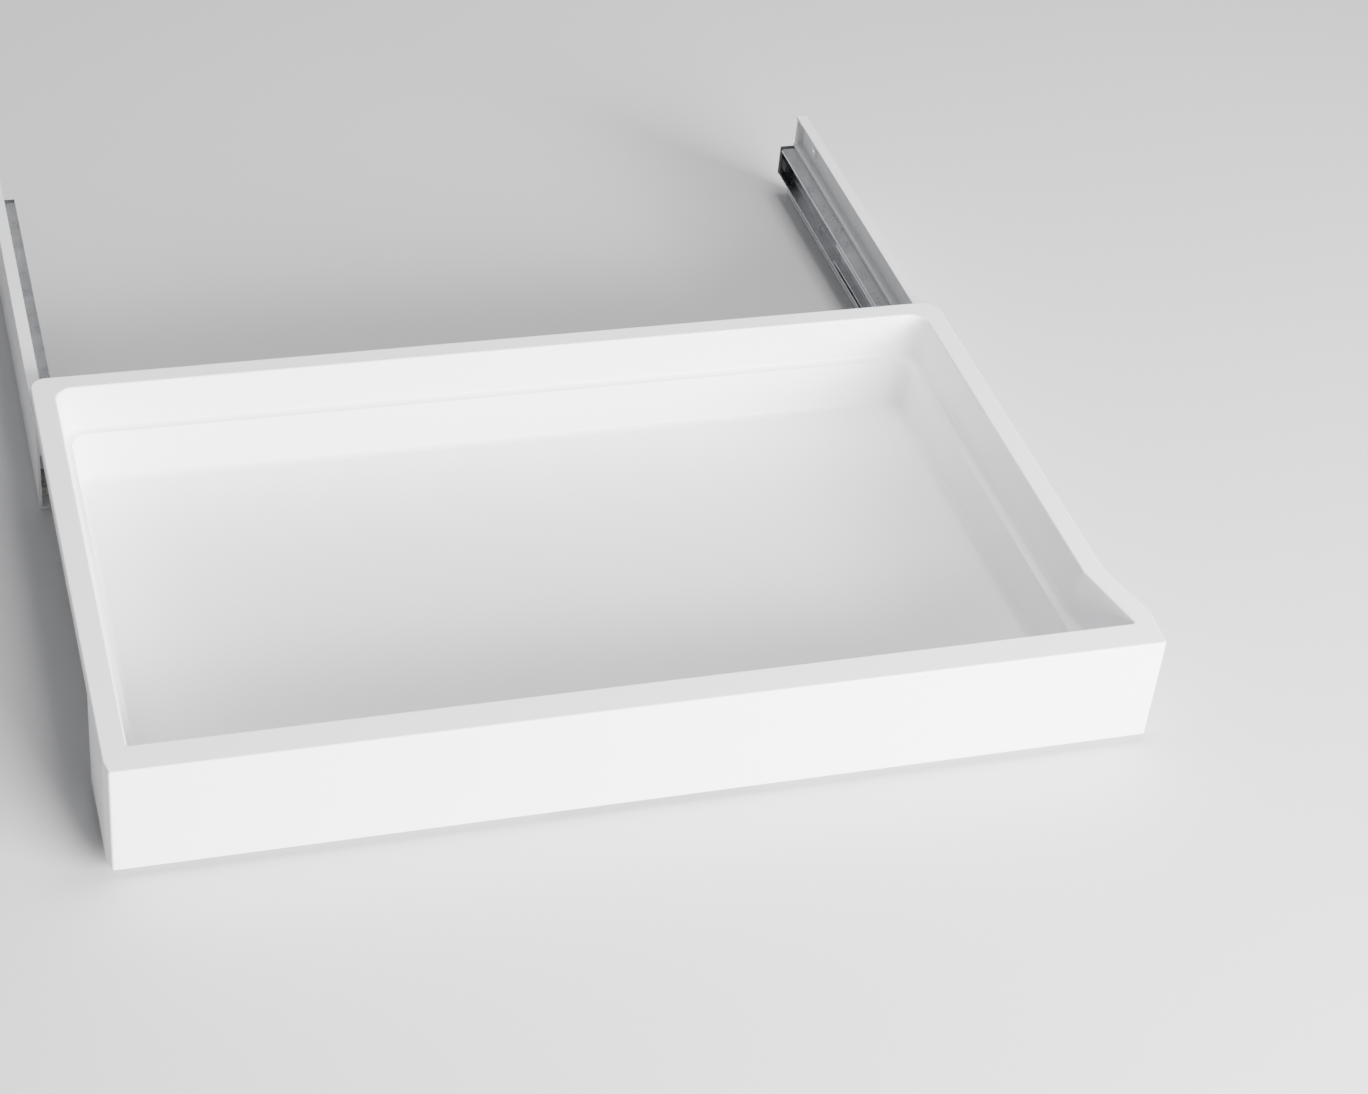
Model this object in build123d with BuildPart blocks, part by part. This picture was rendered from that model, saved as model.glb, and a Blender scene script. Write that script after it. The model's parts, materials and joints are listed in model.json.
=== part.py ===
from build123d import *
import math
import os

# A full-width pull-out fridge bin with its pair of telescopic slides, drawn pulled out.
# Millimetres. X runs across the fridge, +X to the user's right. Y runs into the fridge,
# so the front faces -Y. Z is up. The origin is the middle of the whole assembly's box
# in X and Y, at its lowest point.

# ---------------------------------------------------------------- driving dimensions
FRONT_WIDTH = 715.0        # front face
FRONT_HEIGHT = 83.0
WIDEST = 360.0             # half of the width over the swollen flanks
BIN_DEPTH = 430.0          # front face to the rear edge of the rim
TOTAL_DEPTH = 746.0        # front face to the rear of the slide housings, pulled out
TOTAL_HEIGHT = 89.0        # rim top to the bottom of the slide housings
TRAVEL = 300.0             # from pulled out to closed

WALL = 2.5                 # moulded wall of the bin
FRONT_RIM = 23.7           # depth of the rim along the front
LEFT_RIM = 17.0
RIGHT_RIM = 16.2
REAR_RIM = 16.0
LIP = 8.0                  # height of the rim's turned-down edge
RIGHT_EDGE = 346.0         # the right flank steps in to this behind the front corner
FLARE_START = 34.7
FLARE_END = 86.0
LEFT_FLANK_START = 12.0    # end of the left front corner's bevel
FLARE_WIDTH = 14.1         # how far the right inner wall runs out at its front
FLARE_DEPTH = 60.0         # over this distance behind the front rim
FLARE_BEND = 8.0           # radius of the inner wall where it runs out

LEDGE = 36.0               # depth of the stepped wall's ledge below the rim
END_LEDGE = 5.0            # width of the ledge along the front and the rear
FLOOR = 76.0               # depth of the floor below the rim
LOWER_LEFT = -334.6        # inside faces of the lower side walls, at the ledge
LOWER_RIGHT = 317.0
UPPER_DRAFT = 3.8          # how far each upper wall leans in over its height
LOWER_DRAFT = 2.6

RAIL_X = -8.5              # middle plane between the two slides
RAIL_HALF_GAP = 330.0      # from that plane to the inboard face of each slide
SLIDE_Z = -53.5            # middle of the slides, from the rim top
SLIDE_THICKNESS = 12.5
HOUSING_THICKNESS = 9.0
SHEET = 1.2                # steel of the slide members and brackets
SLIDE_START = 390.0        # closed front end of the slides, behind the front face
SLIDE_LENGTH = 350.0
DRAWER_MEMBER_START = 90.0
DRAWER_MEMBER_LENGTH = 340.0

OUTER_HEIGHT = 27.0
MIDDLE_HEIGHT = 18.8
DRAWER_HEIGHT = 10.6
BALL_RADIUS = 1.35
CAGE_LENGTH = 120.0
BALLS_PER_ROW = 6
CHANNEL_BEND = 2.0         # outside radius of the members' bends
CHANNEL_LIP = 1.3          # lip that keeps the balls in

SHAFT_BACK = 423.0         # the synchronising shaft, behind the front face
SHAFT_Z = -71.5
SHAFT_RADIUS = 3.0
RUNNING_GAP = 0.05
GEAR_MODULE = 1.25
GEAR_TEETH = 16
GEAR_WIDTH = 5.0
PRESSURE_ANGLE = math.radians(20)
RACK_ADDENDUM = 0.85 * GEAR_MODULE
TIP_CLEARANCE = 0.35
TOOTH_THINNING = 0.15      # taken off every tooth's thickness for backlash

LINER_SCREW_RADIUS = 2.25
LINER_SCREW_BACKS = (420.0, 710.0)
LINER_SCREW_Z = -25.75
SMALL_SCREW_RADIUS = 1.5
SCREW_RECESS = 1.0         # drive recess in the screws' heads
SCREW_RECESS_DEPTH = 0.9

# ---------------------------------------------------------------- frame of the bin
# Local X is across, local Y is the distance behind the front face, and local Z is the
# height above the rim top, so everything below the rim is negative.
RIM_PLANE = Plane(origin=(0, -TOTAL_DEPTH / 2, TOTAL_HEIGHT))
# A section across the bin, seen from the front. Offsetting it by -d moves it back by d.
SECTION_PLANE = Plane(origin=(0, -TOTAL_DEPTH / 2, TOTAL_HEIGHT), x_dir=(1, 0, 0), z_dir=(0, -1, 0))
SIDES = {"left": -1, "right": 1}
STANDING = (Align.CENTER, Align.CENTER, Align.MIN)  # a round piece standing on its place

PITCH = math.pi * GEAR_MODULE
PITCH_RADIUS = GEAR_MODULE * GEAR_TEETH / 2
RACK_PITCH_Z = SHAFT_Z - PITCH_RADIUS


def block(x, y, z, mode=Mode.ADD):
    """A box between two values on each axis."""
    with Locations((sum(x) / 2, sum(y) / 2, sum(z) / 2)):
        Box(abs(x[1] - x[0]), abs(y[1] - y[0]), abs(z[1] - z[0]), mode=mode)


def out(side, distance):
    """X of a plane this far outboard of a slide's inboard face."""
    return RAIL_X + side * (RAIL_HALF_GAP + distance)


def outward(side, distance, back, z):
    """A place whose local Z points outboard, away from the middle of the bin."""
    return Location((out(side, distance), back, z), (0, 90 * side, 0))


def save(piece, name):
    """Label a finished sub-part and write it."""
    piece.part.label = name
    export_step(piece.part, f"parts/{name}.step")


os.makedirs("parts", exist_ok=True)

# ================================================================ the bin's moulding
# Outline of the rim in plan. The right flank swells behind the front corner, then runs
# in to the narrower body. The left flank is straight.
HALF_FRONT = FRONT_WIDTH / 2
RIM_OUTLINE = [
    (-HALF_FRONT, 0), (HALF_FRONT, 0), (WIDEST, FLARE_START), (RIGHT_EDGE, FLARE_END),
    (RIGHT_EDGE, BIN_DEPTH), (-WIDEST, BIN_DEPTH), (-WIDEST, LEFT_FLANK_START),
]
RIM_RADII = [2, 2, 13, 12, 12, 12, 8]
REAR_CORNER = 14.0         # the cavity's rear corners
LOWER_FRONT_CORNER = 10.0


def upper_outline(inset, grow):
    """Plan of the upper cavity, leaning in by inset and grown by a wall's thickness."""
    left = -WIDEST + LEFT_RIM + inset - grow
    right = RIGHT_EDGE - RIGHT_RIM - inset + grow
    front = FRONT_RIM + inset - grow
    rear = BIN_DEPTH - REAR_RIM - inset + grow
    flare_front = (right + FLARE_WIDTH, front)
    flare_rear = (right, front + FLARE_DEPTH)
    return [(left, front), flare_front, flare_rear, (right, rear), (left, rear)]


def lower_outline(inset, grow):
    """Plan of the lower cavity, below the ledge."""
    left = LOWER_LEFT + inset - grow
    right = LOWER_RIGHT - inset + grow
    front = FRONT_RIM + UPPER_DRAFT + END_LEDGE + inset - grow
    rear = BIN_DEPTH - REAR_RIM - UPPER_DRAFT - END_LEDGE - inset + grow
    return [(left, front), (right, front), (right, rear), (left, rear)]


def upper_radii(front, grow):
    """Corner radii of the upper cavity in plan, with the front corners' own radius."""
    rear = REAR_CORNER + grow
    return [front + grow, front + grow, FLARE_BEND, rear, rear]


def tapered_block(*ends):
    """A solid between levels, each with its outline and corner radii, about the rim's origin."""
    with BuildPart() as solid:
        for level, outline, radii in ends:
            with BuildSketch(Plane.XY.offset(level)):
                with BuildLine():
                    FilletPolyline(*outline, radius=radii, close=True)
                make_face()
        loft(ruled=True)
    return solid


LOWER_RADII = [LOWER_FRONT_CORNER, LOWER_FRONT_CORNER, REAR_CORNER, REAR_CORNER]
OUTER_LOWER_RADII = [radius + WALL for radius in LOWER_RADII]
CRISP_CORNER = 2.0         # front corners at the rim
SOFT_CORNER = 7.0          # the same corners down at the ledge
DRAFT_PER_MM = UPPER_DRAFT / LEDGE
LEDGE_BEND = 4.0           # bend between the upper wall and the ledge, inside
FLOOR_BEND = 6.0           # bend between the lower wall and the floor, inside
OUTER_LEDGE_BEND = 2.0
OUTER_FLOOR_BEND = 5.0
upper_cavity = tapered_block(
    (1, upper_outline(-DRAFT_PER_MM, 0), upper_radii(CRISP_CORNER, 0)),
    (-LEDGE, upper_outline(UPPER_DRAFT, 0), upper_radii(SOFT_CORNER, 0)),
)
lower_cavity = tapered_block(
    (-LEDGE + 1, lower_outline(0, 0), LOWER_RADII),
    (-FLOOR, lower_outline(LOWER_DRAFT, 0), LOWER_RADII),
)
upper_body = tapered_block(
    (0, upper_outline(0, WALL), upper_radii(CRISP_CORNER, WALL)),
    (-LEDGE - WALL, upper_outline(UPPER_DRAFT, WALL), upper_radii(SOFT_CORNER, WALL)),
)
lower_body = tapered_block(
    (-LEDGE, lower_outline(0, WALL), OUTER_LOWER_RADII),
    (-FLOOR - WALL, lower_outline(LOWER_DRAFT, WALL), OUTER_LOWER_RADII),
)
with upper_cavity:
    fillet(upper_cavity.faces().sort_by(Axis.Z)[0].edges(), radius=LEDGE_BEND)
with lower_cavity:
    fillet(lower_cavity.faces().sort_by(Axis.Z)[0].edges(), radius=FLOOR_BEND)
# the body's corners follow the cavity's, one wall's thickness further out
with upper_body:
    fillet(upper_body.faces().sort_by(Axis.Z)[0].edges(), radius=OUTER_LEDGE_BEND)
with lower_body:
    fillet(lower_body.faces().sort_by(Axis.Z)[0].edges(), radius=OUTER_FLOOR_BEND)

RIB_HALF = 1.0             # half of every moulded rib's thickness
FRONT_RIB_XS = (-300, -200, -100, 100, 200, 300)
FRONT_RIB_BACKS = (1.0, 26.0)
FRONT_RIB_ZS = (-78.0, -1.0)
FLOOR_RIB_DEPTH = 5.0
FLOOR_RIB_BACKS = (80, 150, 220, 290, 360)
FLOOR_RIB_XS = (-250, -130, -9, 112, 232)
RIM_LIP_WALL = 2.0
RIM_ROUND = 1.5            # softened edges of the rim
COVER_SCREW_BACK = 14.0
COVER_SCREW_LENGTH = 14.0
COVER_SCREW_RADIUS = 1.3
COVER_SCREW_HEAD = 2.8
COVER_SCREW_HEAD_HEIGHT = 1.5
COVER_BOSS_RADIUS = 3.5
COVER_BOSS_HEIGHT = 30.0
COVER_TOP = -80.8
CATCH_BACK = 50.0
CATCH_OUT = 3.0
CATCH_PIN_RADIUS = 2.0
CATCH_BOSS_RADIUS = 4.0
CATCH_PIN_HOLE = 14.0      # depth of the pin's hole in the boss
END_RIB_OUT = 13.5
BOSS_BOTTOM = -58.0
BEARING_HALF_GAP = 290.0
BEARING_XS = (RAIL_X - BEARING_HALF_GAP, RAIL_X + BEARING_HALF_GAP)
BEARING_SCREW_DEPTH = 7.0  # of the bearing's screw in its seat
BEARING_SEAT = 419.0
SEAT_FRONT = 405.0
SEAT_HALF = 9.0
SEAT_ZS = (-64.5, -48.0)
BEARING_SCREW_Z = -57.0

with BuildPart(RIM_PLANE) as bin_tub:
    # rim, with its turned-down lip
    with BuildSketch(RIM_PLANE):
        with BuildLine():
            FilletPolyline(*RIM_OUTLINE, radius=RIM_RADII, close=True)
        make_face()
    extrude(amount=-WALL)
    with BuildSketch(RIM_PLANE):
        with BuildLine():
            FilletPolyline(*RIM_OUTLINE, radius=RIM_RADII, close=True)
        make_face()
        offset(amount=-RIM_LIP_WALL, mode=Mode.SUBTRACT)
    extrude(amount=-LIP)
    # front apron and its returns along the flanks
    with BuildSketch(RIM_PLANE):
        with BuildLine():
            FilletPolyline(*RIM_OUTLINE, radius=RIM_RADII, close=True)
        make_face()
        offset(amount=-WALL, mode=Mode.SUBTRACT)
        with Locations((0, FLARE_END / 2)):
            Rectangle(2 * WIDEST + 10, FLARE_END, mode=Mode.INTERSECT)
    extrude(amount=-FRONT_HEIGHT)
    # stepped tub
    add(upper_body.part)
    add(lower_body.part)
    # ribs and screw bosses in the hollow behind the front face
    for x in FRONT_RIB_XS:
        block((x - RIB_HALF, x + RIB_HALF), FRONT_RIB_BACKS, FRONT_RIB_ZS)
        with Locations((x, COVER_SCREW_BACK, COVER_TOP)):
            Cylinder(COVER_BOSS_RADIUS, COVER_BOSS_HEIGHT, align=STANDING)
    # end ribs that stiffen the returns and carry the buffers
    for side in SIDES.values():
        edge = RIGHT_EDGE if side > 0 else -WIDEST
        end_rib = (out(side, END_RIB_OUT), edge - side)
        block(end_rib, (FLARE_END - WALL, FLARE_END), (-FRONT_HEIGHT, -1))
        # boss of the release catch, hanging from the ledge
        with Locations((out(side, CATCH_OUT), CATCH_BACK, BOSS_BOTTOM)):
            Cylinder(CATCH_BOSS_RADIUS, -BOSS_BOTTOM - LEDGE, align=STANDING)
    # shallow ribs under the floor
    floor_rib_zs = (-FLOOR - FLOOR_RIB_DEPTH, -FLOOR - 1)
    for back in FLOOR_RIB_BACKS:
        block((-325, 308), (back - RIB_HALF, back + RIB_HALF), floor_rib_zs)
    for x in FLOOR_RIB_XS:
        block((x - RIB_HALF, x + RIB_HALF), (45, 395), floor_rib_zs)
    # seats of the shaft bearings on the rear wall
    for x in BEARING_XS:
        block((x - SEAT_HALF, x + SEAT_HALF), (SEAT_FRONT, BEARING_SEAT), SEAT_ZS)
    # cavities
    add(upper_cavity.part, mode=Mode.SUBTRACT)
    add(lower_cavity.part, mode=Mode.SUBTRACT)
    # screw and pin holes
    for x in FRONT_RIB_XS:
        with Locations((x, COVER_SCREW_BACK, COVER_TOP)):
            Cylinder(COVER_SCREW_RADIUS, COVER_SCREW_LENGTH, align=STANDING, mode=Mode.SUBTRACT)
    for side in SIDES.values():
        with Locations((out(side, CATCH_OUT), CATCH_BACK, BOSS_BOTTOM)):
            Cylinder(CATCH_PIN_RADIUS, CATCH_PIN_HOLE, align=STANDING, mode=Mode.SUBTRACT)
    for x in BEARING_XS:
        with Locations(Location((x, BEARING_SEAT, BEARING_SCREW_Z), (90, 0, 0))):
            Cylinder(SMALL_SCREW_RADIUS, BEARING_SCREW_DEPTH, align=STANDING, mode=Mode.SUBTRACT)
    # softened edges round the rim, inside and out
    fillet(bin_tub.faces().sort_by(Axis.Z)[-1].edges(), radius=RIM_ROUND)
save(bin_tub, "bin_tub")

# ================================================================ cover under the front
COVER_HALF_WIDTH = 354.6
COVER_BACKS = (2.8, 26.0)
POCKET_HALF_WIDTH = 70.0
POCKET_BACKS = (5.0, 21.0)
POCKET_WALL = 2.0
POCKET_TOP = -62.0
with BuildPart(RIM_PLANE) as front_cover:
    # strip that closes the hollow from below, with a finger pocket pressed up in its middle
    block((-COVER_HALF_WIDTH, COVER_HALF_WIDTH), COVER_BACKS, (-FRONT_HEIGHT, COVER_TOP))
    hood = (-POCKET_HALF_WIDTH - POCKET_WALL, POCKET_HALF_WIDTH + POCKET_WALL)
    hood_backs = (POCKET_BACKS[0] - POCKET_WALL, POCKET_BACKS[1] + POCKET_WALL)
    block(hood, hood_backs, (-FRONT_HEIGHT, POCKET_TOP + POCKET_WALL))
    hollow = (-POCKET_HALF_WIDTH, POCKET_HALF_WIDTH)
    block(hollow, POCKET_BACKS, (-FRONT_HEIGHT - 1, POCKET_TOP), Mode.SUBTRACT)
    lower_edges = front_cover.edges().group_by(Axis.Z)[0]
    inner_edges = [edge for edge in lower_edges if abs(edge.center().X) <= POCKET_HALF_WIDTH]
    fillet([edge for edge in inner_edges if edge.length < COVER_HALF_WIDTH], radius=1.2)
    for x in FRONT_RIB_XS:
        with Locations((x, COVER_SCREW_BACK, -FRONT_HEIGHT)):
            Cone(
                COVER_SCREW_HEAD, SMALL_SCREW_RADIUS, COVER_SCREW_HEAD_HEIGHT,
                align=STANDING, mode=Mode.SUBTRACT,
            )
            Cylinder(SMALL_SCREW_RADIUS, 3, align=STANDING, mode=Mode.SUBTRACT)
save(front_cover, "front_cover")

with BuildPart(RIM_PLANE) as cover_screws:
    for x in FRONT_RIB_XS:
        with Locations((x, COVER_SCREW_BACK, -FRONT_HEIGHT)):
            Cone(COVER_SCREW_HEAD, COVER_SCREW_RADIUS, COVER_SCREW_HEAD_HEIGHT, align=STANDING)
            Cylinder(COVER_SCREW_RADIUS, COVER_SCREW_LENGTH, align=STANDING)
            Cylinder(SCREW_RECESS, SCREW_RECESS_DEPTH, align=STANDING, mode=Mode.SUBTRACT)
save(cover_screws, "cover_screws")

BUFFER_OUT = 16.5
BUFFER_Z = -24.0
BUFFER_RADIUS = 3.0
BUFFER_LENGTH = 3.5
# soft buffers on the end ribs, which meet the slide housings when the bin is closed
with BuildPart(RIM_PLANE) as front_buffers:
    for side in SIDES.values():
        with Locations(Location((out(side, BUFFER_OUT), FLARE_END, BUFFER_Z), (-90, 0, 0))):
            Cylinder(BUFFER_RADIUS, BUFFER_LENGTH, align=STANDING)
    fillet(front_buffers.edges().group_by(Axis.Y)[-1], radius=1)
save(front_buffers, "front_buffers")


# ================================================================ telescopic slides
def channel(side, near, far, height, start, length, opening):
    """A rolled steel channel. It spans two outboard distances and opens "in" or "out"."""
    width = far - near
    centre = out(side, (near + far) / 2)
    toward = -side if opening == "in" else side
    with BuildPart() as rolled:
        with BuildSketch(SECTION_PLANE.offset(-start)):
            with Locations((centre, SLIDE_Z)):
                RectangleRounded(width, height, CHANNEL_BEND)
                inner = (width - 2 * SHEET, height - 2 * SHEET)
                RectangleRounded(*inner, CHANNEL_BEND - SHEET, mode=Mode.SUBTRACT)
            mouth = height - 2 * SHEET - (2 * CHANNEL_LIP if opening == "in" else 0)
            with Locations((centre + toward * (width / 2 - SHEET / 2), SLIDE_Z)):
                Rectangle(SHEET + 0.4, mouth, mode=Mode.SUBTRACT)
        extrude(amount=-length)
    return rolled


SLIDE_SCREW_BACKS = (420.0, 565.0, 710.0)
RIVET_BACKS = (110.0, 260.0, 408.0)
OUTER_LIP = 0.5            # outboard distances of the members' faces
OUTER_WEB = SLIDE_THICKNESS
MIDDLE_LIP = 0.7
MIDDLE_WEB = 9.8
DRAWER_EDGE = 6.9
OUTER_CAGE_WEB = 10.8
INNER_CAGE_WEB = 8.0
MIDDLE_START = SLIDE_START - TRAVEL / 2
CAGE_OUTER_MIDDLE = (SLIDE_START + MIDDLE_START + SLIDE_LENGTH) / 2
CAGE_INNER_MIDDLE = (MIDDLE_START + DRAWER_MEMBER_START + DRAWER_MEMBER_LENGTH) / 2
OUTER_BALL_Z = 10.85
INNER_BALL_Z = 6.75
BALL_OUT = 4.3
CAGE_SHEET = 0.6
CAGE_END = 8.0             # from the cage's end to its first ball
CAGE_EDGE = 2.2            # open edge of the cages, from the slide's inboard face
SCREW_HEAD = 3.0           # head radius of the slide's screws and rivets
RIVET_RADIUS = 1.7


def ball_places(side, middle, ball_z):
    """Where the balls of one cage sit, in an upper and a lower row."""
    step = (CAGE_LENGTH - 2 * CAGE_END) / (BALLS_PER_ROW - 1)
    for row in (-1, 1):
        for number in range(BALLS_PER_ROW):
            back = middle - CAGE_LENGTH / 2 + CAGE_END + number * step
            yield Location((out(side, BALL_OUT), back, SLIDE_Z + row * ball_z))


def ball_cage(side, far, middle, ball_z):
    """A channel of thin strip with a pocket round each ball."""
    half = ball_z + CAGE_SHEET / 2
    with BuildPart(RIM_PLANE) as cage:
        ends = (middle - CAGE_LENGTH / 2, middle + CAGE_LENGTH / 2)
        web = (out(side, far - CAGE_SHEET), out(side, far))
        strips = (out(side, CAGE_EDGE), out(side, far))
        block(web, ends, (SLIDE_Z - half, SLIDE_Z + half))
        block(strips, ends, (SLIDE_Z + half - CAGE_SHEET, SLIDE_Z + half))
        block(strips, ends, (SLIDE_Z - half, SLIDE_Z - half + CAGE_SHEET))
        with Locations(*ball_places(side, middle, ball_z)):
            Cylinder(BALL_RADIUS + 0.1, 2, mode=Mode.SUBTRACT)
    return cage


def balls(side, middle, ball_z):
    """The balls of one cage."""
    with BuildPart(RIM_PLANE) as group:
        with Locations(*ball_places(side, middle, ball_z)):
            Sphere(BALL_RADIUS)
    return group


for name, side in SIDES.items():
    # fixed outer member, with countersunk holes for the screws into the housing
    outer_section = channel(side, OUTER_LIP, OUTER_WEB, OUTER_HEIGHT, SLIDE_START, SLIDE_LENGTH, "in")
    with BuildPart() as outer_member:
        add(outer_section.part)
        with Locations(RIM_PLANE.location):
            for back in SLIDE_SCREW_BACKS:
                with Locations(outward(side, OUTER_WEB - SHEET, back, SLIDE_Z)):
                    Cone(SCREW_HEAD, SMALL_SCREW_RADIUS, SHEET, align=STANDING, mode=Mode.SUBTRACT)
    save(outer_member, f"outer_member_{name}")

    middle_member = channel(side, MIDDLE_LIP, MIDDLE_WEB, MIDDLE_HEIGHT, MIDDLE_START, SLIDE_LENGTH, "in")
    save(middle_member, f"middle_member_{name}")

    drawer_section = channel(
        side, 0, DRAWER_EDGE, DRAWER_HEIGHT, DRAWER_MEMBER_START, DRAWER_MEMBER_LENGTH, "out"
    )
    with BuildPart() as drawer_member:
        add(drawer_section.part)
        with Locations(RIM_PLANE.location):
            for back in RIVET_BACKS:
                with Locations(outward(side, 0, back, SLIDE_Z)):
                    Cylinder(RIVET_RADIUS, 2 * SHEET, mode=Mode.SUBTRACT)
    save(drawer_member, f"drawer_member_{name}")

    save(ball_cage(side, OUTER_CAGE_WEB, CAGE_OUTER_MIDDLE, OUTER_BALL_Z), f"outer_cage_{name}")
    save(ball_cage(side, INNER_CAGE_WEB, CAGE_INNER_MIDDLE, INNER_BALL_Z), f"inner_cage_{name}")
    save(balls(side, CAGE_OUTER_MIDDLE, OUTER_BALL_Z), f"outer_balls_{name}")
    save(balls(side, CAGE_INNER_MIDDLE, INNER_BALL_Z), f"inner_balls_{name}")

# ================================================================ support brackets
BRACKET_START = 66.0
BRACKET_END = 425.0
BRACKET_BOTTOM = -62.0
TAB_OUT = 8.2
TAB_TOP = -50.0
TOP_FLANGE_OUT = 3.2
RIVET_HEAD_HEIGHT = 0.4
for name, side in SIDES.items():
    with BuildPart(RIM_PLANE) as support_bracket:
        span = (BRACKET_START, BRACKET_END)
        web = (out(side, -SHEET), out(side, 0))
        top = (-LEDGE - WALL - SHEET, -LEDGE - WALL)
        block(web, span, (BRACKET_BOTTOM, -LEDGE - WALL))
        block((out(side, -SHEET), out(side, TOP_FLANGE_OUT)), span, top)
        # front end bent outboard into the tab that the release catch hooks behind
        tab = (BRACKET_START, BRACKET_START + SHEET)
        block((out(side, -SHEET), out(side, TAB_OUT)), tab, (BRACKET_BOTTOM, TAB_TOP))
        for back in RIVET_BACKS:
            with Locations(outward(side, 0, back, SLIDE_Z)):
                Cylinder(RIVET_RADIUS, 3 * SHEET, mode=Mode.SUBTRACT)
    save(support_bracket, f"support_bracket_{name}")

with BuildPart(RIM_PLANE) as bracket_rivets:
    for side in SIDES.values():
        for back in RIVET_BACKS:
            with Locations(outward(side, -SHEET - RIVET_HEAD_HEIGHT, back, SLIDE_Z)):
                Cylinder(SCREW_HEAD, RIVET_HEAD_HEIGHT, align=STANDING)
            with Locations(outward(side, -SHEET, back, SLIDE_Z)):
                Cylinder(RIVET_RADIUS, 2 * SHEET, align=STANDING)
            with Locations(outward(side, SHEET, back, SLIDE_Z)):
                Cone(SCREW_HEAD, 2.2, 2 * RIVET_HEAD_HEIGHT, align=STANDING)
save(bracket_rivets, "bracket_rivets")

# ================================================================ slide housings
HOUSING_BACK = SLIDE_THICKNESS
HOUSING_FACE = SLIDE_THICKNESS + HOUSING_THICKNESS
HOUSING_WALL = 2.0
HOUSING_TOP = -11.0
LAND_TOP = -38.0
LAND_BOTTOM = -59.0
RACK_SEAT = -87.0
HOUSING_RIB_BACKS = (400, 440, 480, 520, 600, 640, 680, 735)
HOUSING_END_WALL = 2.5
SLIDE_BOSS_RADIUS = 4.0
SLIDE_SCREW_DEPTH = 7.0    # of the slide's screws in the housing
LINER_RING_RADIUS = 6.5
LINER_RING_HEIGHT = 4.0
for name, side in SIDES.items():
    with BuildPart(RIM_PLANE) as rail_housing:
        span = (SLIDE_START, TOTAL_DEPTH)
        full = (out(side, HOUSING_BACK), out(side, HOUSING_FACE))
        wall = (out(side, HOUSING_FACE - HOUSING_WALL), out(side, HOUSING_FACE))
        face = (out(side, HOUSING_BACK), out(side, HOUSING_BACK + HOUSING_WALL))
        block(wall, span, (-TOTAL_HEIGHT, HOUSING_TOP))
        block(full, span, (HOUSING_TOP - HOUSING_WALL, HOUSING_TOP))
        block(full, span, (LAND_TOP - HOUSING_WALL, LAND_TOP))
        block(full, span, (-TOTAL_HEIGHT, RACK_SEAT))
        block(face, span, (LAND_BOTTOM, LAND_TOP))
        for back in HOUSING_RIB_BACKS:
            block(full, (back - RIB_HALF, back + RIB_HALF), (LAND_BOTTOM, LAND_TOP))
        # front and rear end walls
        end_wall = (out(side, HOUSING_BACK + 1), out(side, HOUSING_FACE))
        block(end_wall, (SLIDE_START, SLIDE_START + HOUSING_END_WALL), (LAND_TOP, HOUSING_TOP))
        block(end_wall, (TOTAL_DEPTH - HOUSING_END_WALL, TOTAL_DEPTH), (LAND_TOP, HOUSING_TOP))
        # bosses for the slide's screws
        for back in SLIDE_SCREW_BACKS:
            with Locations(outward(side, HOUSING_BACK, back, SLIDE_Z)):
                Cylinder(SLIDE_BOSS_RADIUS, HOUSING_THICKNESS, align=STANDING)
                Cylinder(SMALL_SCREW_RADIUS, SLIDE_SCREW_DEPTH, align=STANDING, mode=Mode.SUBTRACT)
        # raised rings and holes for the screws into the liner
        for back in LINER_SCREW_BACKS:
            with Locations(outward(side, HOUSING_FACE - LINER_RING_HEIGHT, back, LINER_SCREW_Z)):
                Cylinder(LINER_RING_RADIUS, LINER_RING_HEIGHT, align=STANDING)
                Cylinder(LINER_SCREW_RADIUS, LINER_RING_HEIGHT, align=STANDING, mode=Mode.SUBTRACT)
    save(rail_housing, f"rail_housing_{name}")

with BuildPart(RIM_PLANE) as rail_screws:
    for side in SIDES.values():
        for back in SLIDE_SCREW_BACKS:
            with Locations(outward(side, OUTER_WEB - SHEET, back, SLIDE_Z)):
                Cone(SCREW_HEAD, SMALL_SCREW_RADIUS, SHEET, align=STANDING)
                Cylinder(SMALL_SCREW_RADIUS, SHEET + SLIDE_SCREW_DEPTH, align=STANDING)
                Cylinder(SCREW_RECESS, SCREW_RECESS_DEPTH, align=STANDING, mode=Mode.SUBTRACT)
save(rail_screws, "rail_screws")

# closing stops: rubber plugs in the rear ends of the outer members
STOP_HALF = 13.0
STOP_NOSE_HALF = 4.5
STOP_NOSE_LENGTH = 9.5
STOP_NOSE_OUT = (2.0, 6.0)
for name, side in SIDES.items():
    with BuildPart(RIM_PLANE) as closing_stop:
        rear = SLIDE_START + SLIDE_LENGTH
        head = (out(side, 1), out(side, OUTER_WEB))
        block(head, (rear + 0.4, TOTAL_DEPTH), (SLIDE_Z - STOP_HALF, SLIDE_Z + STOP_HALF))
        nose = (out(side, STOP_NOSE_OUT[0]), out(side, STOP_NOSE_OUT[1]))
        nose_zs = (SLIDE_Z - STOP_NOSE_HALF, SLIDE_Z + STOP_NOSE_HALF)
        block(nose, (rear - STOP_NOSE_LENGTH, rear + 1), nose_zs)
    save(closing_stop, f"closing_stop_{name}")


# ================================================================ racks, pinions and shaft
FLANK_STEPS = 5            # straight facets along each tooth's flank


def involute(angle):
    """Polar angle that an involute has swept when its pressure angle is this."""
    return math.tan(angle) - angle


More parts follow.
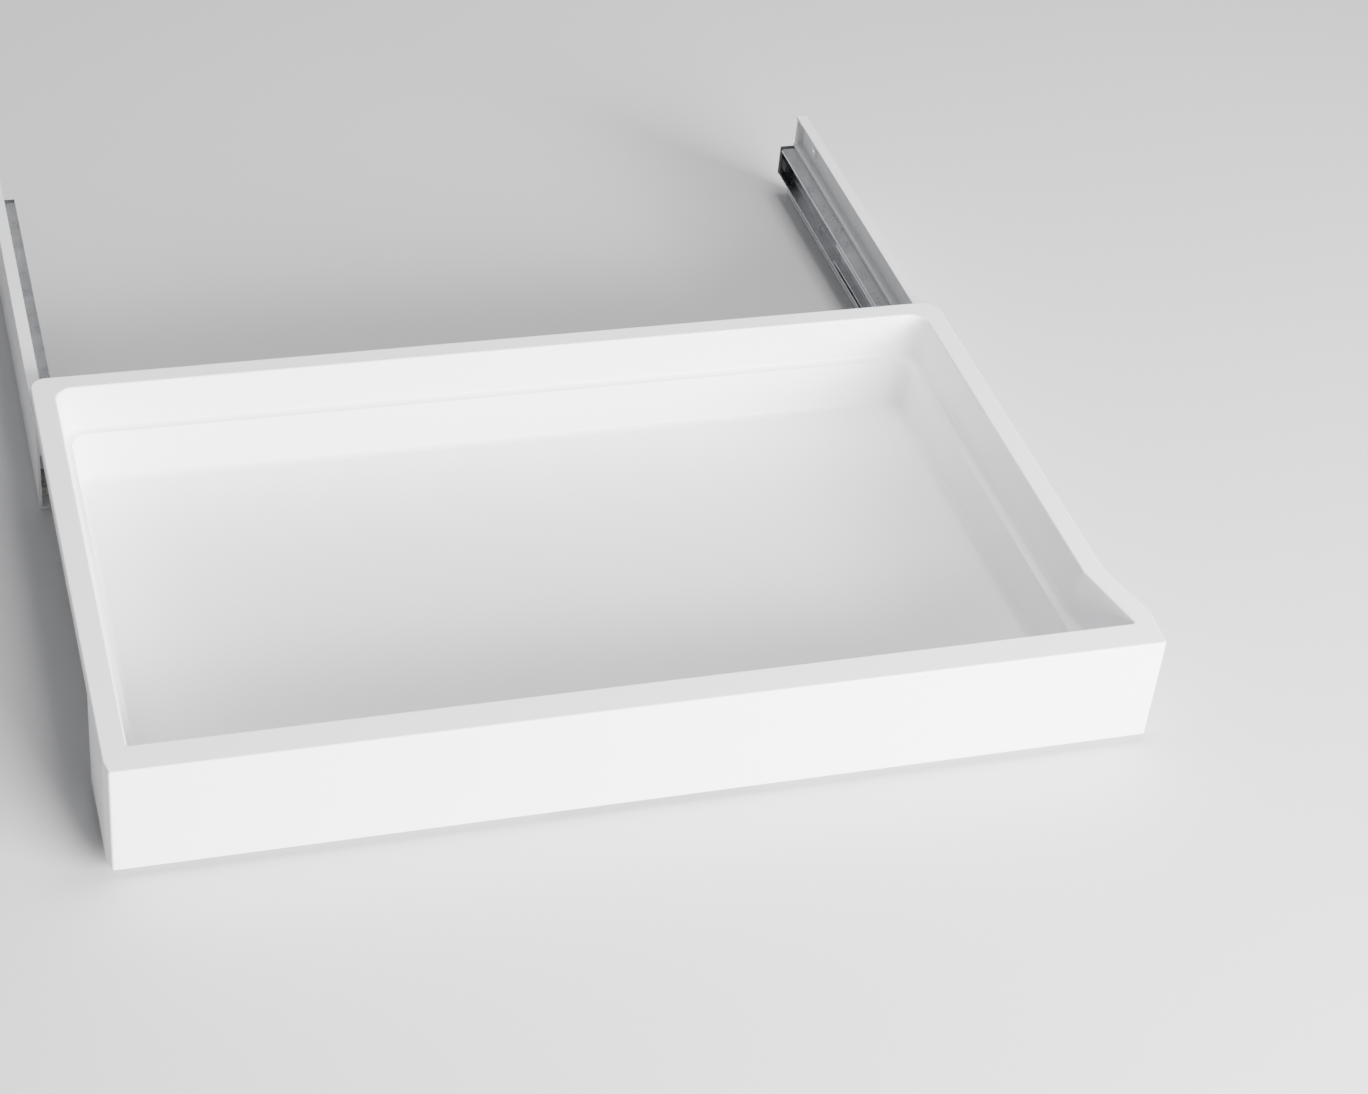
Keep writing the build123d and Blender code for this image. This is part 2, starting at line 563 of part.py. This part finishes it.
def pinion_outline():
    """Closed outline of the pinion, one tooth pointing along local X."""
    base = PITCH_RADIUS * math.cos(PRESSURE_ANGLE)
    root = PITCH_RADIUS - RACK_ADDENDUM - TIP_CLEARANCE
    tip = PITCH_RADIUS + GEAR_MODULE
    half_tooth = (PITCH / 2 - TOOTH_THINNING) / 2 / PITCH_RADIUS + involute(PRESSURE_ANGLE)
    flank = [(root, half_tooth)]
    for step in range(FLANK_STEPS + 1):
        radius = base + (tip - base) * step / FLANK_STEPS
        flank.append((radius, half_tooth - involute(math.acos(base / radius))))
    points = []
    for tooth in range(GEAR_TEETH):
        middle = 2 * math.pi * tooth / GEAR_TEETH
        for radius, angle in flank:
            points.append((radius * math.cos(middle - angle), radius * math.sin(middle - angle)))
        for radius, angle in reversed(flank):
            points.append((radius * math.cos(middle + angle), radius * math.sin(middle + angle)))
    return points


def rack_outline(first, count, base):
    """Closed outline of the rack: local X runs back along it and local Y is up."""
    tip = RACK_PITCH_Z + RACK_ADDENDUM
    root = RACK_PITCH_Z - GEAR_MODULE - TIP_CLEARANCE
    half = PITCH / 4 - TOOTH_THINNING / 2
    at_tip = half - RACK_ADDENDUM * math.tan(PRESSURE_ANGLE)
    at_root = half + (RACK_PITCH_Z - root) * math.tan(PRESSURE_ANGLE)
    points = [(first - PITCH / 2, base), (first - PITCH / 2, root)]
    for tooth in range(count):
        middle = first + tooth * PITCH
        points += [(middle - at_root, root), (middle - at_tip, tip)]
        points += [(middle + at_tip, tip), (middle + at_root, root)]
    last = first + (count - 0.5) * PITCH
    points += [(last, root), (last, base)]
    return points


RACK_TEETH = 85
RACK_FIRST = SHAFT_BACK - 4.5 * PITCH  # middle of the first tooth; a gap lies below the shaft
GEAR_OUT = 13.5
# A section along the bin, seen from its right: local X runs back and local Y is up.
LENGTH_PLANE = Plane(origin=(0, -TOTAL_DEPTH / 2, TOTAL_HEIGHT), x_dir=(0, 1, 0), z_dir=(1, 0, 0))

for name, side in SIDES.items():
    inboard_x = min(out(side, GEAR_OUT), out(side, GEAR_OUT + GEAR_WIDTH))
    with BuildPart() as gear_rack:
        with BuildSketch(LENGTH_PLANE.offset(inboard_x)):
            with BuildLine():
                Polyline(*rack_outline(RACK_FIRST, RACK_TEETH, RACK_SEAT), close=True)
            make_face()
        extrude(amount=GEAR_WIDTH)
    save(gear_rack, f"gear_rack_{name}")

    hub = RIM_PLANE.origin + Vector(inboard_x, SHAFT_BACK, SHAFT_Z)
    with BuildPart() as pinion:
        with BuildSketch(Plane(origin=hub, x_dir=(0, 1, 0), z_dir=(1, 0, 0))):
            with BuildLine():
                Polyline(*pinion_outline(), close=True)
            make_face()
            Circle(SHAFT_RADIUS, mode=Mode.SUBTRACT)
        extrude(amount=GEAR_WIDTH)
    save(pinion, f"pinion_{name}")

with BuildPart(RIM_PLANE) as sync_shaft:
    shaft_length = 2 * (RAIL_HALF_GAP + GEAR_OUT + GEAR_WIDTH)
    with Locations(Location((RAIL_X, SHAFT_BACK, SHAFT_Z), (0, 90, 0))):
        Cylinder(SHAFT_RADIUS, shaft_length)
    chamfer(sync_shaft.edges().filter_by(GeomType.CIRCLE), length=0.4)
save(sync_shaft, "sync_shaft")

BEARING_WIDTH = 16.0
BEARING_RADIUS = 6.0
BEARING_FOOT = 3.0         # thickness of the foot under the screw
BEARING_FOOT_ZS = (-72.0, -50.0)
for name, side in SIDES.items():
    x = RAIL_X + side * BEARING_HALF_GAP
    with BuildPart(RIM_PLANE) as shaft_bearing:
        foot = (x - BEARING_WIDTH / 2, x + BEARING_WIDTH / 2)
        block(foot, (BEARING_SEAT, BEARING_SEAT + BEARING_FOOT), BEARING_FOOT_ZS)
        with Locations(Location((x, SHAFT_BACK, SHAFT_Z), (0, 90, 0))):
            Cylinder(BEARING_RADIUS, BEARING_WIDTH)
            Cylinder(SHAFT_RADIUS + RUNNING_GAP, BEARING_WIDTH, mode=Mode.SUBTRACT)
        with Locations(Location((x, BEARING_SEAT, BEARING_SCREW_Z), (-90, 0, 0))):
            Cylinder(SMALL_SCREW_RADIUS, BEARING_FOOT, align=STANDING, mode=Mode.SUBTRACT)
    save(shaft_bearing, f"shaft_bearing_{name}")

with BuildPart(RIM_PLANE) as bearing_screws:
    for x in BEARING_XS:
        with Locations(Location((x, BEARING_SEAT + BEARING_FOOT, BEARING_SCREW_Z), (90, 0, 0))):
            Cylinder(SMALL_SCREW_RADIUS, BEARING_FOOT + BEARING_SCREW_DEPTH, align=STANDING)
        with Locations(Location((x, BEARING_SEAT + BEARING_FOOT, BEARING_SCREW_Z), (-90, 0, 0))):
            Cylinder(2.8, 1.8, align=STANDING)
save(bearing_screws, "bearing_screws")

# ================================================================ release catches
CATCH_TOP = -58.2
CATCH_BOTTOM = -66.0
CATCH_PIN_LENGTH = 22.0
CATCH_HUB_RADIUS = 5.0
CATCH_ARM_BACKS = (46.0, 54.0)
HOOK_BACKS = (68.6, 74.0)
HOOK_OUT = 5.0
REAR_ARM_OUT = 10.0
FRONT_ARM_OUT = 6.0
PADDLE_BACKS = (30.0, 33.0)
PADDLE_BOTTOM = -78.0
CATCH_FACE = 13.0          # outboard face of the catch's arms
for name, side in SIDES.items():
    with BuildPart(RIM_PLANE) as catch:
        height = (CATCH_BOTTOM, CATCH_TOP)
        with Locations((out(side, CATCH_OUT), CATCH_BACK, CATCH_BOTTOM)):
            Cylinder(CATCH_HUB_RADIUS, CATCH_TOP - CATCH_BOTTOM, align=STANDING)
        # arm to the rear with the hook that lies behind the bracket's tab
        face = out(side, CATCH_FACE)
        block((out(side, CATCH_OUT), face), CATCH_ARM_BACKS, height)
        block((out(side, REAR_ARM_OUT), face), (CATCH_ARM_BACKS[0], HOOK_BACKS[1]), height)
        block((out(side, HOOK_OUT), face), HOOK_BACKS, height)
        # arm to the front with the finger paddle
        block((out(side, FRONT_ARM_OUT), face), (PADDLE_BACKS[0], CATCH_ARM_BACKS[1]), height)
        block((out(side, FRONT_ARM_OUT), face), PADDLE_BACKS, (PADDLE_BOTTOM, CATCH_TOP))
        fillet(catch.edges().filter_by(Axis.Z), radius=0.8)
        with Locations((out(side, CATCH_OUT), CATCH_BACK, CATCH_BOTTOM)):
            Cylinder(CATCH_PIN_RADIUS + RUNNING_GAP, 10, align=STANDING, mode=Mode.SUBTRACT)
    save(catch, f"catch_{name}")

with BuildPart(RIM_PLANE) as catch_pins:
    for side in SIDES.values():
        with Locations((out(side, CATCH_OUT), CATCH_BACK, CATCH_BOTTOM - 0.2)):
            Cylinder(CATCH_PIN_RADIUS, CATCH_PIN_LENGTH, align=STANDING)
            Cylinder(3.6, 1.5, align=(Align.CENTER, Align.CENTER, Align.MAX))
save(catch_pins, "catch_pins")
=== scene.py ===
import json
import math

import bmesh
import bpy
from mathutils import Matrix, Vector


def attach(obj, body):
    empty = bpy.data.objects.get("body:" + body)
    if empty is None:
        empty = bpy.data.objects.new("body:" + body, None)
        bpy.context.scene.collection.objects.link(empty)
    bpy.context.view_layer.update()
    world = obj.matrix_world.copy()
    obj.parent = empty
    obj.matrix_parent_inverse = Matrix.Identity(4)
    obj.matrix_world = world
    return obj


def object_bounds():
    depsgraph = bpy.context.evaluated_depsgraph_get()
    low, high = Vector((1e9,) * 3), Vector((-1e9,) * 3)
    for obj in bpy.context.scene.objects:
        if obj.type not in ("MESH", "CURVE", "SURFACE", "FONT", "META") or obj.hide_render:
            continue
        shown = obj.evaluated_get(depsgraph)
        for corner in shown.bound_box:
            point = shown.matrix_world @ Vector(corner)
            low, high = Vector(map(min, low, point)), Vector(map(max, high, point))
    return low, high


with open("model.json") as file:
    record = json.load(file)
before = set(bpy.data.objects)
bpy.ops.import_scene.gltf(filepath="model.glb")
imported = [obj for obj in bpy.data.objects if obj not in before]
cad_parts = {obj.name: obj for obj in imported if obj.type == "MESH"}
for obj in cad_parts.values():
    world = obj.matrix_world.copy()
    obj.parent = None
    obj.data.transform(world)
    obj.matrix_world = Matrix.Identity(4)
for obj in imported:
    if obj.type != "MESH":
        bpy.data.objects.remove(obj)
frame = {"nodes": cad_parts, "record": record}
cad_box = [[float(value) for value in corner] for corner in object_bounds()]
nodes = frame["nodes"]

# A full-width white pull-out fridge bin on telescopic slides, in metres. X runs across, -Y is
# the front and +Z is up, as in the CAD frame.
MM = 0.001

# ------------------------------------------------------------------ camera
CAMERA_PLACE = Vector((-0.4865, -1.6983, 1.3068))
CAMERA_LOOK = Vector((0.2732, 0.7435, -0.6104))
CAMERA_UP = Vector((0.1036, 0.608, 0.787))
CAMERA_LENS = 75.54
SENSOR_WIDTH = 36.0
NEAREST = 0.05
FARTHEST = 50.0


def make_camera():
    """The camera at the viewing angle, with its slight roll."""
    look = CAMERA_LOOK.normalized()
    right = look.cross(CAMERA_UP).normalized()
    up = right.cross(look)
    turn = Matrix((right, up, -look)).transposed().to_4x4()
    data = bpy.data.cameras.new("camera")
    data.lens = CAMERA_LENS
    data.sensor_width = SENSOR_WIDTH
    data.clip_start = NEAREST
    data.clip_end = FARTHEST
    camera = bpy.data.objects.new("camera", data)
    camera.matrix_world = Matrix.Translation(CAMERA_PLACE) @ turn
    bpy.context.collection.objects.link(camera)
    bpy.context.scene.camera = camera


# ------------------------------------------------------------------ materials
NOISE_LOW = 0.3            # the range that most of a noise texture's values fall in
NOISE_HIGH = 0.7


class Surface:
    """A procedural material around one Principled shader, in metres of the object's own space."""

    def __init__(self, name, roughness, metallic=0.0):
        self.material = bpy.data.materials.new(name)
        self.material.use_nodes = True
        self.tree = self.material.node_tree
        self.shader = self.tree.nodes["Principled BSDF"]
        self.shader.inputs["Roughness"].default_value = roughness
        self.shader.inputs["Metallic"].default_value = metallic
        self.place = self.tree.nodes.new("ShaderNodeTexCoord").outputs["Object"]

    def node(self, kind, **settings):
        made = self.tree.nodes.new(kind)
        for key, value in settings.items():
            setattr(made, key, value)
        return made

    def stretched(self, scale):
        """The object's coordinates, scaled by a different amount on each axis."""
        mapping = self.node("ShaderNodeMapping")
        mapping.inputs["Scale"].default_value = scale
        self.tree.links.new(self.place, mapping.inputs["Vector"])
        return mapping.outputs["Vector"]

    def noise(self, size, detail=3.0, rough=0.5, scale=(1, 1, 1)):
        """Noise whose features are about size metres across."""
        made = self.node("ShaderNodeTexNoise")
        made.inputs["Scale"].default_value = 1 / size
        made.inputs["Detail"].default_value = detail
        made.inputs["Roughness"].default_value = rough
        source = self.place if scale == (1, 1, 1) else self.stretched(scale)
        self.tree.links.new(source, made.inputs["Vector"])
        return made.outputs["Fac"]

    def ramp(self, value, low, high, start=0.35, end=0.65):
        """Colours between low and high, as value goes from start to end."""
        made = self.node("ShaderNodeValToRGB")
        made.color_ramp.elements[0].position = start
        made.color_ramp.elements[0].color = (*low, 1)
        made.color_ramp.elements[1].position = end
        made.color_ramp.elements[1].color = (*high, 1)
        self.tree.links.new(value, made.inputs["Fac"])
        return made.outputs["Color"]

    def span(self, value, low, high):
        """value mapped from its middle range to low and high."""
        made = self.node("ShaderNodeMapRange")
        made.inputs["From Min"].default_value = NOISE_LOW
        made.inputs["From Max"].default_value = NOISE_HIGH
        made.inputs["To Min"].default_value = low
        made.inputs["To Max"].default_value = high
        self.tree.links.new(value, made.inputs["Value"])
        return made.outputs["Result"]

    def colour(self, output):
        self.tree.links.new(output, self.shader.inputs["Base Color"])

    def roughness(self, output):
        self.tree.links.new(output, self.shader.inputs["Roughness"])

    def bump(self, *layers):
        """Bumps, each (height, depth in metres), one on top of the other."""
        normal = None
        for height, depth in layers:
            made = self.node("ShaderNodeBump")
            made.inputs["Strength"].default_value = 1.0
            made.inputs["Distance"].default_value = depth
            self.tree.links.new(height, made.inputs["Height"])
            if normal is not None:
                self.tree.links.new(normal, made.inputs["Normal"])
            normal = made.outputs["Normal"]
        self.tree.links.new(normal, self.shader.inputs["Normal"])


def moulded_white(name, low, high, roughness):
    """Satin white moulded plastic: even, with a faint flow tone, a slight sink and a fine grain."""
    surface = Surface(name, roughness[0])
    flow = surface.noise(0.16, 2.0)
    sheen = surface.noise(0.030, 4.0, 0.6)
    sink = surface.noise(0.012, 2.0)
    grain = surface.noise(0.0009, 2.0, 0.55)
    surface.colour(surface.ramp(flow, low, high))
    surface.roughness(surface.span(sheen, *roughness))
    surface.shader.inputs["Specular IOR Level"].default_value = 0.42
    surface.bump((sink, 0.00006), (grain, 0.000012))
    return surface.material


def plated_steel(name, low, high, along, roughness):
    """Rolled zinc-plated steel with fine lines along one axis and a cloudy plating."""
    surface = Surface(name, roughness[0], metallic=1.0)
    squeeze = [1.0, 1.0, 1.0]
    squeeze[along] = 0.02
    lines = surface.noise(0.0012, 4.0, 0.65, tuple(squeeze))
    clouds = surface.noise(0.018, 4.0, 0.6)
    mixed = surface.node("ShaderNodeMath", operation="MULTIPLY_ADD")
    surface.tree.links.new(lines, mixed.inputs[0])
    mixed.inputs[1].default_value = 0.45
    surface.tree.links.new(clouds, mixed.inputs[2])
    surface.colour(surface.ramp(mixed.outputs[0], low, high, 0.5, 0.95))
    surface.roughness(surface.span(clouds, *roughness))
    surface.bump((lines, 0.000012))
    return surface.material


def turned_steel(name, low, high, roughness):
    """Ground or turned bright steel, with fine rings round the X axis."""
    surface = Surface(name, roughness[0], metallic=1.0)
    rings = surface.noise(0.0006, 3.0, 0.6, (1.0, 0.15, 0.15))
    surface.colour(surface.ramp(rings, low, high))
    surface.roughness(surface.span(rings, *roughness))
    surface.bump((rings, 0.000006))
    return surface.material


def grained_plastic(name, low, high, roughness, grain, depth):
    """Engineering plastic or rubber with a fine grain and slight tone changes."""
    surface = Surface(name, roughness[0])
    surface.colour(surface.ramp(surface.noise(0.006, 4.0, 0.6), low, high))
    surface.roughness(surface.span(surface.noise(0.002, 3.0), *roughness))
    surface.bump((surface.noise(grain, 3.0, 0.6), depth))
    return surface.material


def bin_white():
    return moulded_white("bin_white", (0.885, 0.885, 0.895), (0.90, 0.90, 0.91), (0.30, 0.40))


def housing_white():
    return moulded_white("housing_white", (0.76, 0.765, 0.775), (0.80, 0.803, 0.81), (0.42, 0.52))


def zinc_sheet():
    return plated_steel("zinc_sheet", (0.57, 0.58, 0.60), (0.71, 0.72, 0.73), 1, (0.24, 0.36))


def zinc_screw():
    return plated_steel("zinc_screw", (0.55, 0.56, 0.57), (0.76, 0.76, 0.75), 0, (0.20, 0.32))


def ground_steel():
    return turned_steel("ground_steel", (0.56, 0.57, 0.58), (0.70, 0.70, 0.71), (0.16, 0.28))


def ball_steel():
    return turned_steel("ball_steel", (0.72, 0.72, 0.73), (0.80, 0.80, 0.81), (0.05, 0.09))


def cage_plastic():
    low, high = (0.05, 0.052, 0.056), (0.08, 0.082, 0.086)
    return grained_plastic("cage", low, high, (0.45, 0.6), 0.0007, 0.00002)


def acetal():
    low, high = (0.68, 0.675, 0.64), (0.74, 0.735, 0.70)
    return grained_plastic("acetal", low, high, (0.30, 0.42), 0.0009, 0.000015)


def catch_plastic():
    low, high = (0.17, 0.19, 0.215), (0.21, 0.23, 0.255)
    return grained_plastic("catch", low, high, (0.38, 0.52), 0.0006, 0.00003)


def grey_rubber():
    low, high = (0.035, 0.035, 0.037), (0.06, 0.06, 0.062)
    return grained_plastic("rubber", low, high, (0.65, 0.85), 0.0008, 0.00005)


def make_materials():
    """One material for each slot of the record."""
    return {
        "white_moulding": bin_white(),
        "white_housing": housing_white(),
        "zinc_sheet": zinc_sheet(),
        "zinc_screw": zinc_screw(),
        "ground_steel": ground_steel(),
        "ball_steel": ball_steel(),
        "cage_plastic": cage_plastic(),
        "acetal": acetal(),
        "catch_plastic": catch_plastic(),
        "grey_rubber": grey_rubber(),
    }


def dress_nodes(materials):
    """Give every CAD node the material of its slot in the record."""
    for entry in frame["record"]["subparts"]:
        node = nodes[entry["node"]]
        node.data.materials.clear()
        node.data.materials.append(materials[entry["material_slot"]])


# ------------------------------------------------------------------ small moulded and pressed details
FRONT_Y = cad_box[0][1]
RIM_Z = cad_box[1][2]
SIDES = {"left": -1, "right": 1}
X_AXIS = Vector((1, 0, 0))
Y_AXIS = Vector((0, 1, 0))
Z_AXIS = Vector((0, 0, 1))

# Millimetres, as the CAD part has them: distances behind the front face, depths below the rim,
# and distances outboard of a slide's inboard face.
RAIL_X = -8.5              # middle plane between the slides
RAIL_HALF_GAP = 330.0
FLOOR_UNDERSIDE = 78.5
APRON_BOTTOM = 83.0
SLIDE_MIDDLE = 53.5
SLIDE_SCREW_BACKS = (420.0, 565.0, 710.0)
SLIDE_SCREW_OUT = 11.3
COVER_SCREW_XS = (-300, -200, -100, 100, 200, 300)
COVER_SCREW_BACK = 14.0

EJECTOR_XS = (-290.0, -190.0, -70.0, 52.0, 172.0, 275.0)
EJECTOR_BACKS = (62.0, 185.0, 325.0, 383.0)
EJECTOR_RADII = (3.4, 4.0)
EJECTOR_HEIGHT = 0.2
GATE_PLACE = (-20.0, 205.0)
GATE_RADII = (0.6, 2.2)
GATE_HEIGHT = 0.9
SUNK = 0.05                # how far the marks start inside the floor
RING_STEPS = 32

SOCKET_RADIUS = 0.98       # of the drive recess in each screw's head
SOCKET_ARM = 0.26          # half width of the cross's arms
SOCKET_DEPTH = 0.9
SOCKET_STEPS = 4

RIDGE = [(0.0, -0.55), (0.32, -0.42), (0.5, 0.0), (0.32, 0.42), (0.0, 0.55), (-0.2, 0.0)]
RIDGE_DEPTHS = (65.0, 68.0, 71.0, 74.0)
RIDGE_OUT = 7.0
RIDGE_LENGTH = 5.0
PADDLE_FRONT = 30.0

LANCE = [(-4.0, -0.1), (-2.4, 0.6), (2.4, 0.6), (4.0, -0.1)]
LANCE_DEPTH = 56.0
LANCE_HEIGHT = 5.0
OUTER_LANCES = (399.0, 727.0)
OUTER_FACE = 11.3
MIDDLE_LANCES = (249.0, 581.0)
MIDDLE_FACE = 8.6
LANCE_BEVEL = 0.2 * MM


def place(x, back, below):
    """A point from its X, its distance behind the front face and its depth below the rim, in mm."""
    return Vector((x * MM, FRONT_Y + back * MM, RIM_Z - below * MM))


def beside(side, distance, back, below):
    """The same, with X as the distance outboard of a slide's inboard face."""
    return place(RAIL_X + side * (RAIL_HALF_GAP + distance), back, below)


def prism(mesh, outline, origin, across, up, along):
    """Sweep an outline in mm, drawn on two unit axes about the origin, along a vector in metres."""
    rings = []
    for end in (origin, origin + along):
        rings.append([mesh.verts.new(end + (u * across + v * up) * MM) for u, v in outline])
    mesh.faces.new(rings[0])
    mesh.faces.new(reversed(rings[1]))
    for first, second in zip(range(len(outline)), [*range(1, len(outline)), 0]):
        mesh.faces.new((rings[0][first], rings[1][first], rings[1][second], rings[0][second]))


def ring(mesh, origin, across, up, along, radii):
    """A raised circular ridge between two radii in mm, standing on the plane of two unit axes."""
    loops = []
    for radius, height in ((radii[0], 0), (radii[0], 1), (radii[1], 1), (radii[1], 0)):
        loop = []
        for step in range(RING_STEPS):
            angle = 2 * math.pi * step / RING_STEPS
            spoke = math.cos(angle) * across + math.sin(angle) * up
            loop.append(mesh.verts.new(origin + spoke * radius * MM + along * height))
        loops.append(loop)
    for inner, outer in zip(loops, loops[1:] + loops[:1]):
        for step in range(RING_STEPS):
            after = (step + 1) % RING_STEPS
            mesh.faces.new((inner[step], inner[after], outer[after], outer[step]))


def add_piece(name, mesh, material, body, bevel):
    """Turn a finished mesh into an object that rides on a body."""
    bmesh.ops.recalc_face_normals(mesh, faces=mesh.faces)
    data = bpy.data.meshes.new(name)
    mesh.to_mesh(data)
    mesh.free()
    data.materials.append(material)
    piece = bpy.data.objects.new(name, data)
    bpy.context.collection.objects.link(piece)
    if bevel:
        softened = piece.modifiers.new("softened", "BEVEL")
        softened.width = bevel
        softened.segments = 2
    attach(piece, body)


def cross_recess(mesh, origin, across, up, along):
    """Four corner posts that leave a cross-shaped recess in a screw's head."""
    reach = math.sqrt(SOCKET_RADIUS ** 2 - SOCKET_ARM ** 2)
    start = math.atan2(SOCKET_ARM, reach)
    turn = math.atan2(reach, SOCKET_ARM) - start
    outline = [(SOCKET_ARM, SOCKET_ARM)]
    for step in range(SOCKET_STEPS + 1):
        angle = start + turn * step / SOCKET_STEPS
        outline.append((SOCKET_RADIUS * math.cos(angle), SOCKET_RADIUS * math.sin(angle)))
    for flip_u, flip_v in ((1, 1), (-1, 1), (-1, -1), (1, -1)):
        prism(mesh, [(u * flip_u, v * flip_v) for u, v in outline], origin, across, up, along)


def mark_floor(material):
    """The rings that ejector pins leave under the floor, and the stub of the gate."""
    marks = bmesh.new()
    for x in EJECTOR_XS:
        for back in EJECTOR_BACKS:
            start = place(x, back, FLOOR_UNDERSIDE - SUNK)
            ring(marks, start, X_AXIS, Y_AXIS, -Z_AXIS * EJECTOR_HEIGHT * MM, EJECTOR_RADII)
    gate = place(*GATE_PLACE, FLOOR_UNDERSIDE - SUNK)
    ring(marks, gate, X_AXIS, Y_AXIS, -Z_AXIS * GATE_HEIGHT * MM, GATE_RADII)
    add_piece("ejector_marks", marks, material, "bin", 0)


def cut_cover_sockets(material):
    """The cross recesses of the cover's screws."""
    sockets = bmesh.new()
    for x in COVER_SCREW_XS:
        head = place(x, COVER_SCREW_BACK, APRON_BOTTOM)
        cross_recess(sockets, head, X_AXIS, Y_AXIS, Z_AXIS * SOCKET_DEPTH * MM)
    add_piece("cover_screw_sockets", sockets, material, "bin", 0)


def cut_rail_sockets(name, side, material):
    """The cross recesses of one slide's screws."""
    sockets = bmesh.new()
    for back in SLIDE_SCREW_BACKS:
        head = beside(side, SLIDE_SCREW_OUT, back, SLIDE_MIDDLE)
        cross_recess(sockets, head, Y_AXIS, Z_AXIS, X_AXIS * side * SOCKET_DEPTH * MM)
    add_piece(f"rail_screw_sockets_{name}", sockets, material, "cabinet_rails", 0)


def ridge_paddle(name, side, material):
    """The grip ridges on one catch's paddle."""
    ridges = bmesh.new()
    for depth in RIDGE_DEPTHS:
        start = beside(side, RIDGE_OUT, PADDLE_FRONT, depth)
        prism(ridges, RIDGE, start, -Y_AXIS, Z_AXIS, X_AXIS * side * RIDGE_LENGTH * MM)
    add_piece(f"paddle_ridges_{name}", ridges, material, f"catch_{name}", 0)


def press_stops(name, side, backs, face, body, material):
    """The stops pressed out of one slide member's web."""
    stops = bmesh.new()
    for back in backs:
        start = beside(side, face, back, LANCE_DEPTH)
        prism(stops, LANCE, start, Y_AXIS, X_AXIS * -side, Z_AXIS * LANCE_HEIGHT * MM)
    add_piece(name, stops, material, body, LANCE_BEVEL)


def make_details(materials):
    """Ejector marks, the screws' cross recesses, grip ridges and pressed stops."""
    mark_floor(materials["white_moulding"])
    cut_cover_sockets(materials["zinc_screw"])
    for name, side in SIDES.items():
        cut_rail_sockets(name, side, materials["zinc_screw"])
        ridge_paddle(name, side, materials["catch_plastic"])
        sheet = materials["zinc_sheet"]
        press_stops(f"outer_stops_{name}", side, OUTER_LANCES, OUTER_FACE, "cabinet_rails", sheet)
        press_stops(f"middle_stops_{name}", side, MIDDLE_LANCES, MIDDLE_FACE, f"middle_{name}", sheet)


# ------------------------------------------------------------------ stage
FLOOR_HALF = 9.0
FLOOR_GAP = 0.0005         # between the floor and the housings' bottoms


def make_floor():
    """A pale seamless floor just under the slide housings."""
    mesh = bpy.data.meshes.new("floor")
    level = cad_box[0][2] - FLOOR_GAP
    corners = [(x * FLOOR_HALF, y * FLOOR_HALF, level) for x, y in ((-1, -1), (1, -1), (1, 1), (-1, 1))]
    mesh.from_pydata(corners, [], [(0, 1, 2, 3)])
    floor = bpy.data.objects.new("floor", mesh)
    bpy.context.collection.objects.link(floor)
    surface = Surface("floor", 0.7)
    surface.colour(surface.ramp(surface.noise(1.5, 2.0), (0.62, 0.62, 0.625), (0.65, 0.65, 0.655)))
    surface.shader.inputs["Specular IOR Level"].default_value = 0.2
    mesh.materials.append(surface.material)


def area_light(name, position, target, size, power):
    """A soft white rectangular light aimed at a point."""
    data = bpy.data.lights.new(name, "AREA")
    data.shape = "RECTANGLE"
    data.size, data.size_y = size
    data.energy = power
    light = bpy.data.objects.new(name, data)
    direction = Vector(target) - Vector(position)
    light.rotation_euler = direction.to_track_quat("-Z", "Y").to_euler()
    light.location = position
    bpy.context.collection.objects.link(light)


SURROUND_COLOUR = (0.96, 0.97, 1.0, 1)
SURROUND_STRENGTH = 0.4


def make_lights():
    """A broad key from the front right, a weaker panel overhead and an even pale surround."""
    area_light("key", (1.15, -2.1, 0.7), (0.0, -0.3, 0.03), (2.2, 0.8), 390.0)
    area_light("sky", (0.5, 0.0, 2.4), (0, -0.1, 0), (1.2, 1.0), 42.0)
    world = bpy.data.worlds.new("world")
    world.use_nodes = True
    background = world.node_tree.nodes["Background"]
    background.inputs["Color"].default_value = SURROUND_COLOUR
    background.inputs["Strength"].default_value = SURROUND_STRENGTH
    bpy.context.scene.world = world


make_camera()
finishes = make_materials()
dress_nodes(finishes)
make_details(finishes)
make_floor()
make_lights()
